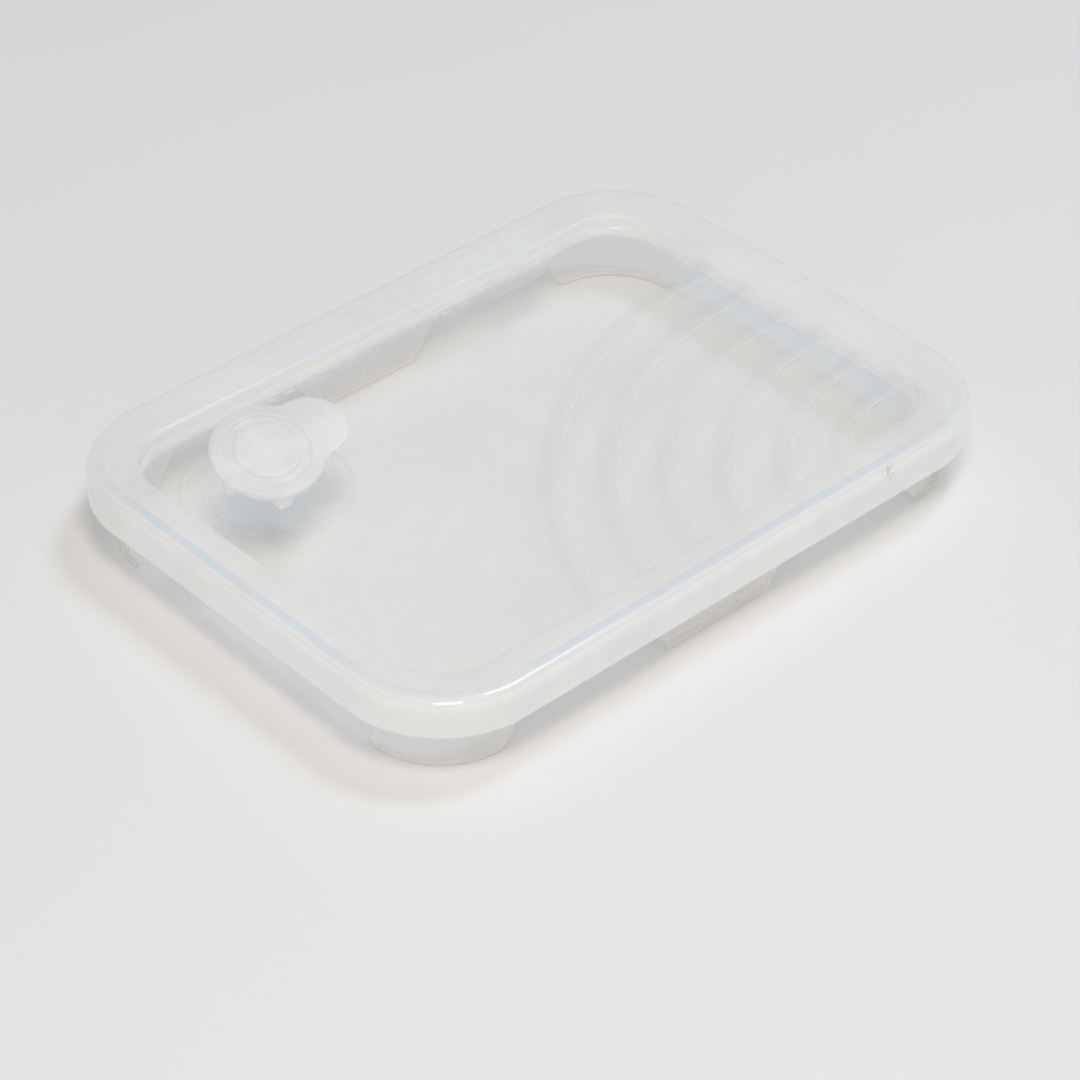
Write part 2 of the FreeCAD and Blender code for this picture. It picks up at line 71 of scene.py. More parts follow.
# ---------------------------------------------------------------- sizes from the frame
crown_low, crown_high = cad_box(*cad_nodes("rim_crown"))
front_wall_low, front_wall_high = cad_box("rim_wall_front")
panel_low, panel_high = cad_box("panel")
front_foot_low, front_foot_high = cad_box("side_foot_front")
seat_low, seat_high = cad_box("vent_seat")
pad_low, pad_high = cad_box("blank_pad")
beads_low, beads_high = cad_box("bead_row")

HALF_LENGTH = crown_high.x
HALF_WIDTH = crown_high.y
CORNER_RADIUS = HALF_LENGTH - front_wall_high.x
RIM_BOTTOM = front_wall_low.z
CROWN_UNDER = crown_low.z
CROWN_TOP = crown_high.z
WALL = front_wall_high.y - front_wall_low.y
HOOD_INSET = HALF_LENGTH - panel_high.x
PANEL_UNDER = panel_low.z
PANEL_TOP = panel_high.z
FOOT_INSET = HALF_WIDTH + front_foot_low.y
FOOT_THICKNESS = front_foot_high.y - front_foot_low.y
FOOT_HALF_TOP = front_foot_high.x
VENT_X = (seat_low.x + seat_high.x) / 2
VENT_Y = (seat_low.y + seat_high.y) / 2
SEAT_OUTER = (seat_high.x - seat_low.x) / 2
SEAT_BOTTOM = seat_low.z
SEAT_LEDGE = seat_high.z

# ---------------------------------------------------------------- sizes of the rounded detail
CREASE_INSET = 5.6
PLATEAU_DROP = 0.95
INNER_DROP = 1.35
SHOULDER_RADIUS = 3.2
SHEET_INSET = 15.0
LIP_RADIUS = 0.5

FOOT_FLARE = 0.62
FOOT_CORNER = 3.0
FOOT_EDGE = 0.55
FOOT_ROOT = 0.4

SEAT_RECESS = 14.2
SEAT_BORE = 12.1
RING_RADIUS = 19.5
RING_WIDTH = 1.0
RING_HEIGHT = 0.3

RIPPLE_COUNT = 6
RIPPLE_CENTRE = (72.0, -84.4)
RIPPLE_CENTRE_STEP = 1.9
RIPPLE_FIRST_RADIUS = 104.55
RIPPLE_RADIUS_STEP = 14.4
RIPPLE_WIDTH = 0.9
RIPPLE_HEIGHT = 0.35
RIPPLE_SHADE_GAP = 3.4
RIPPLE_SHADE_WIDTH = 2.0
RIDGE_SINK = 0.12

DASH_COUNT = 12
DASH_LENGTH = 3.6
DASH_WIDTH = 0.9
DASH_HEIGHT = 0.3
PAD_LIFT = 0.3

PLUG_GAP = 0.05
FLANGE_RADIUS = 13.05
FLANGE_THICKNESS = 2.3
GROOVE_OUTER = 10.0
GROOVE_FLOOR = 1.4
BUTTON_RADIUS = 7.7
BUTTON_HEIGHT = 2.6
TAB_RADIUS = 8.3
TAB_OFFSET = 12.6
TAB_NECK = 5.0
TAB_UNDER = 1.4
TAB_TOP = 2.2
HUB_RADIUS = 4.0
FIN_TOP = 11.3
FIN_BOTTOM = 10.0
FIN_THICKNESS = 3.0
FIN_DEPTH = 7.8
FIN_CORNER = 1.6
FIN_TURN = -10.0
FIN_ROOT = 0.6
MELT_VOXEL = 0.24

STAIN_PLACE = (46.8, -66.0, 21.6)


# ---------------------------------------------------------------- mesh helpers
def face_outwards(mesh):
    """Join the points that lie on top of each other and turn every face outwards."""
    work = bmesh.new()
    work.from_mesh(mesh)
    bmesh.ops.remove_doubles(work, verts=work.verts, dist=JOIN_GAP * MM)
    bmesh.ops.recalc_face_normals(work, faces=work.faces)
    work.to_mesh(mesh)
    work.free()


def new_piece(name, points, faces, body, material, stands_for, marks=None):
    """A smooth-shaded mesh from points in millimetres, riding on a body in place of CAD nodes."""
    mesh = bpy.data.meshes.new(name)
    mesh.from_pydata([tuple(p) for p in np.asarray(points) * MM], [], [tuple(f) for f in faces])
    for mark, values in (marks or {}).items():
        attribute = mesh.attributes.new(mark, "FLOAT", "POINT")
        attribute.data.foreach_set("value", np.asarray(values, np.float32))
    mesh.validate()
    face_outwards(mesh)
    mesh.shade_smooth()
    mesh.materials.append(material)
    piece = bpy.data.objects.new(name, mesh)
    bpy.context.scene.collection.objects.link(piece)
    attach(piece, body)
    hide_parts(*stands_for)
    return piece


def rounded_run(corners, closed=False, arc_steps=6):
    """Points along straight lines whose corners (x, y, radius) are rounded off."""
    count = len(corners)
    points = []
    for index, (x, y, radius) in enumerate(corners):
        here = np.array([x, y], float)
        is_end = not closed and index in (0, count - 1)
        if radius <= 0 or is_end:
            points.append(here)
            continue
        before = np.array(corners[index - 1][:2], float) - here
        after = np.array(corners[(index + 1) % count][:2], float) - here
        before /= np.linalg.norm(before)
        after /= np.linalg.norm(after)
        half = math.acos(np.clip(before @ after, -1, 1)) / 2
        centre = here + (before + after) / np.linalg.norm(before + after) * radius / math.sin(half)
        start = here + before * radius / math.tan(half) - centre
        end = here + after * radius / math.tan(half) - centre
        sweep = math.pi - 2 * half
        turn = 1 if start[0] * end[1] - start[1] * end[0] > 0 else -1
        for step in range(arc_steps + 1):
            angle = turn * sweep * step / arc_steps
            rotated = (
                start[0] * math.cos(angle) - start[1] * math.sin(angle),
                start[0] * math.sin(angle) + start[1] * math.cos(angle),
            )
            points.append(centre + rotated)
    return np.array(points)


def evenly(points, spacing, closed=False):
    """The same run with extra points wherever two are further apart than the spacing."""
    result = []
    count = len(points)
    for index in range(count if closed else count - 1):
        start, end = points[index], points[(index + 1) % count]
        steps = max(1, math.ceil(np.linalg.norm(end - start) / spacing))
        result += [start + (end - start) * step / steps for step in range(steps)]
    if not closed:
        result.append(points[-1])
    return np.array(result)


def grid_faces(rows, columns, close_rows=False, close_columns=False, flip=False):
    """Quads over a grid of points laid out row by row."""
    faces = []
    for row in range(rows if close_rows else rows - 1):
        for column in range(columns if close_columns else columns - 1):
            next_row = (row + 1) % rows
            next_column = (column + 1) % columns
            face = (
                row * columns + column,
                row * columns + next_column,
                next_row * columns + next_column,
                next_row * columns + column,
            )
            faces.append(face[::-1] if flip else face)
    return faces


def inside(points, loop):
    """True for each point that lies inside a closed loop."""
    x, y = points[:, 0, None], points[:, 1, None]
    x0, y0 = loop[:, 0], loop[:, 1]
    x1, y1 = np.roll(x0, -1), np.roll(y0, -1)
    rise = np.where(y1 == y0, 1e-12, y1 - y0)
    crosses = ((y0 > y) != (y1 > y)) & (x < (x1 - x0) * (y - y0) / rise + x0)
    return crosses.sum(1) % 2 == 1


def nearest(points, loop):
    """Each point's distance to the nearest point of a loop."""
    gaps = points[:, None, :] - loop[None, :, :]
    return np.sqrt((gaps ** 2).sum(2)).min(1)


def filled(loops, spacing):
    """Flat triangles that fill the first loop less the others, over the loops' points and inner ones."""
    outer = loops[0]
    low, high = outer.min(0), outer.max(0)
    columns = np.arange(low[0], high[0], spacing)
    rows = np.arange(low[1], high[1], spacing * 0.866)
    inner = np.array([
        (x + (index % 2) * spacing / 2, y)
        for index, y in enumerate(rows)
        for x in columns
    ])
    keep = inside(inner, outer)
    for index, loop in enumerate(loops):
        if index:
            keep &= ~inside(inner, loop)
        keep &= nearest(inner, loop) > spacing * 0.55
    border = np.concatenate(loops)
    points = np.concatenate([border, inner[keep]])
    edges = []
    first = 0
    for loop in loops:
        count = len(loop)
        edges += [(first + step, first + (step + 1) % count) for step in range(count)]
        first += count
    made, _, faces, origins, _, _ = delaunay_2d_cdt([Vector(p) for p in points], edges, [], 0, 1e-7)
    source = [ids[0] if ids else -1 for ids in origins]
    if -1 in source or len(made) != len(points):
        raise RuntimeError("a fill met crossing edges")
    flat = []
    for face in faces:
        corners = [source[index] for index in face]
        middle = points[corners].mean(0)[None]
        in_a_hole = any(inside(middle, loop)[0] for loop in loops[1:])
        if in_a_hole or not inside(middle, outer)[0]:
            continue
        a, b, c = points[corners]
        area = (b[0] - a[0]) * (c[1] - a[1]) - (b[1] - a[1]) * (c[0] - a[0])
        flat.append(tuple(corners) if area > 0 else tuple(corners[::-1]))
    return points, flat


# ---------------------------------------------------------------- the lid's outline
def outline(corner_steps, side_steps):
    """Centres and outward normals round the lid, anticlockwise, and how straight each stretch is."""
    flat_x = HALF_LENGTH - CORNER_RADIUS
    flat_y = HALF_WIDTH - CORNER_RADIUS
    corners = [(flat_x, flat_y, 0), (-flat_x, flat_y, 90), (-flat_x, -flat_y, 180), (flat_x, -flat_y, 270)]
    centres, normals, straight = [], [], []
    for index, (x, y, start) in enumerate(corners):
        for step in range(corner_steps + 1):
            share = step / corner_steps
            angle = math.radians(start + 90 * share)
            centres.append((x, y))
            normals.append((math.cos(angle), math.sin(angle)))
            straight.append(0.0)
        next_x, next_y, _ = corners[(index + 1) % 4]
        end = math.radians(start + 90)
        for step in range(1, side_steps):
            share = step / side_steps
            centres.append((x + (next_x - x) * share, y + (next_y - y) * share))
            normals.append((math.cos(end), math.sin(end)))
            straight.append(min(1.0, 8 * share, 8 * (1 - share)))
    return np.array(centres), np.array(normals), np.array(straight)


def inset_of(x, y):
    """How far a point lies inside the lid's outline."""
    over_x = abs(x) - (HALF_LENGTH - CORNER_RADIUS)
    over_y = abs(y) - (HALF_WIDTH - CORNER_RADIUS)
    if over_x > 0 and over_y > 0:
        return CORNER_RADIUS - math.hypot(over_x, over_y)
    return CORNER_RADIUS - max(over_x, over_y)


def sag(x, y):
    """How far the soft panel dips or rises at a point: nothing at its edge and round the vent."""
    from_edge = np.clip((inset_of(x, y) - SHEET_INSET) / 14, 0, 1)
    from_vent = np.clip((math.hypot(x - VENT_X, y - VENT_Y) - 21) / 12, 0, 1)
    swell = noise.noise(Vector((x / 42, y / 34, 1.7))) * 0.28
    return float(from_edge * from_vent * (swell - 0.12))


def ripple_shade(x, y):
    """The painted shadow of the ripple lines: a grey, more scattering band along the outer side of each
    line.
    """
    shade = 0.0
    for number in range(RIPPLE_COUNT):
        radius = RIPPLE_FIRST_RADIUS - number * RIPPLE_RADIUS_STEP
        across = x - RIPPLE_CENTRE[0]
        up = y - RIPPLE_CENTRE[1] - number * RIPPLE_CENTRE_STEP
        gap = math.hypot(across, up) - radius
        shade += math.exp(-((gap - RIPPLE_SHADE_GAP) / RIPPLE_SHADE_WIDTH) ** 2)
    return shade


def wander(x, y):
    """The slight unevenness of the soft rim's height."""
    return noise.noise(Vector((x / 38, y / 38, 5.1))) * 0.12


# ---------------------------------------------------------------- node helpers for materials
def new_material(name):
    material = bpy.data.materials.new(name)
    material.use_nodes = True
    material.node_tree.nodes.clear()
    return material, material.node_tree


def link(tree, source, target):
    tree.links.new(source, target)


def node(tree, kind, **settings):
    made = tree.nodes.new(kind)
    for key, value in settings.items():
        setattr(made, key, value)
    return made


def noise_value(tree, coordinates, scale, detail):
    made = node(tree, "ShaderNodeTexNoise")
    made.inputs["Scale"].default_value = scale
    made.inputs["Detail"].default_value = detail
    link(tree, coordinates, made.inputs["Vector"])
    return made.outputs["Fac"]


def remap(tree, value, from_low, from_high, to_low, to_high):
    """A value taken from one range to another, smoothly, and held at the ends."""
    made = node(tree, "ShaderNodeMapRange", interpolation_type="SMOOTHSTEP")
    made.inputs["From Min"].default_value = from_low
    made.inputs["From Max"].default_value = from_high
    made.inputs["To Min"].default_value = to_low
    made.inputs["To Max"].default_value = to_high
    link(tree, value, made.inputs["Value"])
    return made.outputs["Result"]


def maths(tree, operation, first, second):
    made = node(tree, "ShaderNodeMath", operation=operation)
    for socket, value in zip(made.inputs, (first, second)):
        if isinstance(value, (int, float)):
            socket.default_value = value
        else:
            link(tree, value, socket)
    return made.outputs["Value"]


def blended(tree, share, first, second):
    """A mix of two colours."""
    made = node(tree, "ShaderNodeMix", data_type="RGBA")
    if isinstance(share, float):
        made.inputs[0].default_value = share
    else:
        link(tree, share, made.inputs[0])
    for socket, value in ((made.inputs[6], first), (made.inputs[7], second)):
        if isinstance(value, tuple):
            socket.default_value = (*value, 1)
        else:
            link(tree, value, socket)
    return made.outputs[2]


def mark_value(tree, name):
    made = node(tree, "ShaderNodeAttribute", attribute_name=name)
    return made.outputs["Fac"]


def window(tree, value, start, full, fade, end):
    """One between two places on a scale, nothing outside, with soft ends."""
    rise = remap(tree, value, start, full, 0, 1)
    fall = remap(tree, value, fade, end, 1, 0)
    return maths(tree, "MULTIPLY", rise, fall)


# ---------------------------------------------------------------- the silicone
MILK = (0.955, 0.97, 0.99)
MILK_WARM = (0.97, 0.97, 0.965)
PLUG_MILK = (0.84, 0.86, 0.895)
FOOT_MILK = (0.92, 0.91, 0.90)
CREAM = (0.99, 0.98, 0.955)
GLOW = (0.985, 0.98, 0.97)
# painted bluish reflection on the rim
REFLECTION_BLUE = (0.60, 0.78, 0.96)
# painted warm glow along the feet's lower edges
PAINTED_GLOW_PEACH = (0.93, 0.80, 0.68)
# painted shade: the line along the rim's crease and the shadows beside the ripple lines
SHADE_GREY = (0.74, 0.74, 0.77)
SPECK = (0.45, 0.43, 0.41)
RUST = (0.50, 0.30, 0.15)
PASS_CLEAR = (0.998, 0.997, 0.994)
PASS_WARM = (0.99, 0.98, 0.965)

SILICONE_IOR = 1.41
SURFACE_ROUGHNESS = 0.34
GLOSS_ROUGHNESS = 0.12
SPECULAR_LEVEL = 0.3
GLOW_SHARE = 0.42
GLOW_TINT = 0.7
GRAIN_DEPTH = 0.00005
SHINE = {"foot": 0.6, "ridge": 0.4, "ring": 0.4, "plug": 0.4}
GRAIN = {"ridge": 0.01, "ring": 0.01}

# scales of the uneven clouds, the grain, the dust, the patches where dust gathers, and the rust spots
CLOUD_SCALE, GRAIN_SCALE, DUST_SCALE, DUST_PATCH_SCALE, SPOT_SCALE = 45, 900, 2600, 160, 1500

# insets in millimetres where the rim's painted bands start, are full, begin to fade and end: the bluish
# reflections near its shoulder and inner edge, and the shade line along its crease
NEAR_REFLECTION_BAND = (2.0, 2.5, 3.9, 4.9)
FAR_REFLECTION_BAND = (10.4, 10.9, 11.6, 12.0)
CREASE_SHADE_BAND = (1.0, 1.15, 1.3, 1.5)


def stain_value(tree, place):
    """A few small rust spots on the front wall, in a patch a few millimetres wide."""
    offset = node(tree, "ShaderNodeVectorMath", operation="DISTANCE")
    link(tree, place, offset.inputs[0])
    offset.inputs[1].default_value = tuple(value * MM for value in STAIN_PLACE)
    patch = remap(tree, offset.outputs["Value"], 0.8 * MM, 3.4 * MM, 1, 0)
    spots = noise_value(tree, place, SPOT_SCALE, 1)
    threshold = maths(tree, "MULTIPLY", patch, remap(tree, spots, 0.50, 0.60, 0, 1))
    return maths(tree, "MULTIPLY", threshold, 0.8)


def shell_looks(tree, place, cloud, colour, amount, passes):
    """The shell's colour, scattering, tint and shine: milky rim with painted bluish reflection bands and a
    painted shade line on its shoulder, and a nearly clear panel with painted ripple shadows.
    """
    inset = mark_value(tree, "inset")
    near = mark_value(tree, "near")
    on_top = remap(tree, mark_value(tree, "height"), CROWN_TOP - 3, CROWN_TOP - 1.5, 0, 1)
    # painted bluish reflections: a band near the shoulder on the sides facing the front, and a fainter one
    # at the inner edge on the far sides
    near_reflection = maths(tree, "MULTIPLY", window(tree, inset, *NEAR_REFLECTION_BAND), near)
    far = maths(tree, "SUBTRACT", 1.0, near)
    far_reflection = maths(tree, "MULTIPLY", window(tree, inset, *FAR_REFLECTION_BAND), far)
    band = maths(tree, "ADD", near_reflection, maths(tree, "MULTIPLY", far_reflection, 0.6))
    along = remap(tree, mark_value(tree, "straight"), 0, 1, 0.4, 1)
    band = maths(tree, "MULTIPLY", maths(tree, "MULTIPLY", band, on_top), along)
    colour = blended(tree, maths(tree, "MULTIPLY", band, 0.85), colour, REFLECTION_BLUE)
    # painted shade line along the crease at the top of the shoulder
    crease_shade = maths(tree, "MULTIPLY", window(tree, inset, *CREASE_SHADE_BAND), on_top)
    colour = blended(tree, maths(tree, "MULTIPLY", crease_shade, 0.35), colour, SHADE_GREY)

    rim = remap(tree, inset, HOOD_INSET - 0.4, HOOD_INSET + 1.2, 1, 0)
    panel_amount = remap(tree, cloud, 0.3, 0.7, 0.09, 0.13)
    panel_amount = maths(tree, "MULTIPLY", panel_amount, remap(tree, inset, 18, 30, 1, 0.25))
    rim_amount = maths(tree, "MULTIPLY", rim, amount)
    sheet_amount = maths(tree, "MULTIPLY", maths(tree, "SUBTRACT", 1.0, rim), panel_amount)
    amount = maths(tree, "ADD", rim_amount, sheet_amount)

    # painted shadows beside the ripple lines: greyer and slightly more scattering
    shade = mark_value(tree, "shade")
    colour = blended(tree, shade, colour, SHADE_GREY)
    amount = maths(tree, "ADD", amount, maths(tree, "MULTIPLY", shade, 0.06))
    through = blended(tree, rim, PASS_CLEAR, passes)
    shine = remap(tree, rim, 0, 1, 0.3, 1.0)
    stain = stain_value(tree, place)
    colour = blended(tree, stain, colour, RUST)
    amount = maths(tree, "MAXIMUM", amount, stain)
    return colour, amount, through, shine


def foot_looks(tree, colour, amount):
    """A foot's colour and scattering, with a painted warm glow of light along its lower edge."""
    edge = mark_value(tree, "edge")
    colour = blended(tree, maths(tree, "MULTIPLY", edge, 0.45), colour, PAINTED_GLOW_PEACH)
    amount = maths(tree, "ADD", amount, maths(tree, "MULTIPLY", edge, 0.35))
    return colour, amount


def dusty(tree, place, colour, amount):
    """Sparse dark specks of dust over a colour and its scattering."""
    gathered = remap(tree, noise_value(tree, place, DUST_PATCH_SCALE, 1), 0.60, 0.66, 0, 1)
    dust = noise_value(tree, place, DUST_SCALE, 1)
    specks = maths(tree, "MULTIPLY", remap(tree, dust, 0.70, 0.73, 0, 1), gathered)
    colour = blended(tree, maths(tree, "MULTIPLY", specks, 0.5), colour, SPECK)
    amount = maths(tree, "MAXIMUM", amount, maths(tree, "MULTIPLY", specks, 0.35))
    return colour, amount


def mixed_shaders(tree, share, first, second):
    """A mix of two shaders."""
    made = node(tree, "ShaderNodeMixShader")
    if isinstance(share, float):
        made.inputs["Fac"].default_value = share
    else:
        link(tree, share, made.inputs["Fac"])
    link(tree, first, made.inputs[1])
    link(tree, second, made.inputs[2])
    return made.outputs["Shader"]


def scattering(tree, colour, glow, cloud, normal):
    """The milky share of the silicone: a soft surface that also lets light glow through."""
    body = node(tree, "ShaderNodeBsdfPrincipled")
    uneven = remap(tree, cloud, 0.3, 0.7, SURFACE_ROUGHNESS - 0.05, SURFACE_ROUGHNESS + 0.08)
    link(tree, colour, body.inputs["Base Color"])
    link(tree, uneven, body.inputs["Roughness"])
    link(tree, normal, body.inputs["Normal"])
    body.inputs["IOR"].default_value = SILICONE_IOR
    body.inputs["Specular IOR Level"].default_value = SPECULAR_LEVEL
    soft = node(tree, "ShaderNodeBsdfTranslucent")
    link(tree, blended(tree, GLOW_TINT, colour, glow), soft.inputs["Color"])
    return mixed_shaders(tree, GLOW_SHARE, body.outputs["BSDF"], soft.outputs["BSDF"])


def glossed(tree, shader, normal, shine):
    """A shader with a thin gloss over its outer side, stronger at glancing angles."""
    gloss = node(tree, "ShaderNodeBsdfGlossy")
    gloss.inputs["Color"].default_value = (1, 1, 1, 1)
    gloss.inputs["Roughness"].default_value = GLOSS_ROUGHNESS
    link(tree, normal, gloss.inputs["Normal"])
    fresnel = node(tree, "ShaderNodeFresnel")
    fresnel.inputs["IOR"].default_value = SILICONE_IOR
    backfacing = node(tree, "ShaderNodeNewGeometry").outputs["Backfacing"]
    outside = maths(tree, "SUBTRACT", 1.0, backfacing)
    mirrored = maths(tree, "MULTIPLY", fresnel.outputs["Fac"], outside)
    mirrored = maths(tree, "MULTIPLY", mirrored, shine)
    return mixed_shaders(tree, mirrored, shader, gloss.outputs["BSDF"])


def silicone(name, cover, passes, milk=MILK, glow=GLOW, part="plain"):
    """Milky silicone: part of the light scatters both ways, and the rest goes straight through.

    cover is the share of light that each face scatters, and passes the tint of what goes through."""
    material, tree = new_material(name)
    place = node(tree, "ShaderNodeTexCoord").outputs["Object"]
    cloud = noise_value(tree, place, CLOUD_SCALE, 3)
    colour = blended(tree, remap(tree, cloud, 0.35, 0.7, 0.0, 0.55), milk, MILK_WARM)
    amount = remap(tree, cloud, 0.3, 0.7, cover * 0.92, min(1.0, cover * 1.08))
    through = passes
    shine = SHINE.get(part, 1.0)
    if part == "shell":
        colour, amount, through, shine = shell_looks(tree, place, cloud, colour, amount, passes)
    if part == "foot":
        colour, amount = foot_looks(tree, colour, amount)
    colour, amount = dusty(tree, place, colour, amount)

    bump = node(tree, "ShaderNodeBump")
    bump.inputs["Strength"].default_value = GRAIN.get(part, 0.05)
    bump.inputs["Distance"].default_value = GRAIN_DEPTH
    link(tree, noise_value(tree, place, GRAIN_SCALE, 2), bump.inputs["Height"])
    normal = bump.outputs["Normal"]

    clear = node(tree, "ShaderNodeBsdfTransparent")
    if isinstance(through, tuple):
        clear.inputs["Color"].default_value = (*through, 1)
    else:
        link(tree, through, clear.inputs["Color"])
    milky = scattering(tree, colour, glow, cloud, normal)
    mix = mixed_shaders(tree, amount, clear.outputs["BSDF"], milky)
    out = node(tree, "ShaderNodeOutputMaterial")
    link(tree, glossed(tree, mix, normal, shine), out.inputs["Surface"])
    return material


# ---------------------------------------------------------------- the lid's shell
def shell_section():
    """The hood's section as (inset, height), from the panel's top over the rim to its underside."""
    inner = HOOD_INSET
    return rounded_run([
        (SHEET_INSET, PANEL_TOP, 0),
        (inner + 0.15, PANEL_TOP, 1.5),
        (inner - 0.1, CROWN_TOP - INNER_DROP, 0.9),
        (inner - 1.6, CROWN_TOP - PLATEAU_DROP, 1.5),
        (CREASE_INSET, CROWN_TOP - 0.12, 3.0),
        (CREASE_INSET - 2.0, CROWN_TOP, 1.2),
        (0, CROWN_TOP, SHOULDER_RADIUS),
        (0, RIM_BOTTOM, LIP_RADIUS),
        (WALL, RIM_BOTTOM, LIP_RADIUS),
        (WALL, CROWN_UNDER, 1.2),
        (inner - WALL, CROWN_UNDER, 1.2),
        (inner - WALL, PANEL_UNDER, 1.4),
        (SHEET_INSET, PANEL_UNDER, 0),
    ])


def make_shell(material):
    """The whole hood, sunken panel and vent seat as one closed skin."""
    section = evenly(shell_section(), 1.6)
    centres, normals, straight = outline(28, 36)
    stations, steps = len(centres), len(section)
    points, inset_mark, straight_mark, height_mark, near_mark = [], [], [], [], []
    for centre, normal, level in zip(centres, normals, straight):
        # how far each side faces the front, which weights the painted bluish reflection bands
        near = float(np.clip(0.5 - (normal[0] + normal[1]) * 1.5, 0, 1))
        for inset, height in section:
            x, y = centre + normal * (CORNER_RADIUS - inset)
            lift = wander(x, y) * np.clip((height - PANEL_TOP) / 3, 0, 1)
            points.append((x, y, height - abs(lift)))
            inset_mark.append(inset)
            straight_mark.append(level)
            height_mark.append(height)
            near_mark.append(near)
    faces = grid_faces(stations, steps, close_rows=True, flip=True)

    def add(new_points, inset, height):
        first = len(points)
        points.extend(new_points)
        inset_mark.extend([inset] * len(new_points))
        straight_mark.extend([0.0] * len(new_points))
        height_mark.extend([height] * len(new_points))
        near_mark.extend([0.0] * len(new_points))
        return first

    seat = evenly(rounded_run([
        (SEAT_RECESS + 2.6, PANEL_TOP, 0),
        (SEAT_RECESS, PANEL_TOP, 0.35),
        (SEAT_RECESS, SEAT_LEDGE, 0.2),
        (SEAT_BORE, SEAT_LEDGE, 0.3),
        (SEAT_BORE, SEAT_BOTTOM, 0.3),
        (SEAT_OUTER, SEAT_BOTTOM, 0.3),
        (SEAT_OUTER, PANEL_UNDER, 0.2),
        (SEAT_OUTER + 1.6, PANEL_UNDER, 0),
    ], arc_steps=4), 1.0)
    turns = 96
    angles = [2 * math.pi * turn / turns for turn in range(turns)]
    lathe = [
        (VENT_X + radius * math.cos(angle), VENT_Y + radius * math.sin(angle), height)
        for angle in angles
        for radius, height in seat
    ]
    seat_first = add(lathe, 2 * SHEET_INSET, PANEL_TOP)
    seat_faces = grid_faces(turns, len(seat), close_rows=True)
    faces += [tuple(seat_first + index for index in face) for face in seat_faces]

    top_side = (0, 0, PANEL_TOP, False)
    under_side = (steps - 1, len(seat) - 1, PANEL_UNDER, True)
    for ring_step, seat_step, level, flip in (top_side, under_side):
        ring_ids = [station * steps + ring_step for station in range(stations)]
        seat_ids = [seat_first + turn * len(seat) + seat_step for turn in range(turns)]
        loops = [np.array([points[index][:2] for index in ids]) for ids in (ring_ids, seat_ids)]
        flat, triangles = filled(loops, 2.1)
        known = ring_ids + seat_ids
        extra = [(x, y, level + sag(x, y)) for x, y in flat[len(known):]]
        first = add(extra, SHEET_INSET, level)
        ids = known + list(range(first, first + len(extra)))
        turned = [face[::-1] if flip else face for face in triangles]
        faces += [tuple(ids[index] for index in face) for face in turned]

    # painted shadows beside the ripple lines, on the panel only
    shade_mark = [
        ripple_shade(x, y) if inset > HOOD_INSET else 0.0
        for (x, y, _), inset in zip(points, inset_mark)
    ]
    marks = {
        "inset": inset_mark,
        "straight": straight_mark,
        "height": height_mark,
        "near": near_mark,
        "shade": shade_mark,
    }
    hood = cad_nodes("rim_wall") + cad_nodes("rim_crown")
    return new_piece("lid_shell", points, faces, "lid", material,
                     hood + ["inner_wall", "panel", "vent_seat"], marks)


# ---------------------------------------------------------------- feet
def foot_line(side, end):
    """A line along the middle of a foot's thickness: (point, outward normal) at a distance along it."""
    middle = FOOT_INSET + FOOT_THICKNESS / 2
    radius = CORNER_RADIUS - middle
    if side == 0:

        def straight_place(along):
            return np.array([-end * along, end * (HALF_WIDTH - middle)]), np.array([0.0, end])

        return straight_place
    centre = np.array([side * (HALF_LENGTH - CORNER_RADIUS), end * (HALF_WIDTH - CORNER_RADIUS)])
    heading = math.atan2(end, side)
    half_turn = math.pi / 4

    def corner_place(along):
        turn = np.clip(along / radius, -half_turn, half_turn)
        angle = heading + turn
        normal = np.array([math.cos(angle), math.sin(angle)])
        tangent = np.array([-normal[1], normal[0]])
        return centre + normal * radius + tangent * (along - turn * radius), normal

    return corner_place


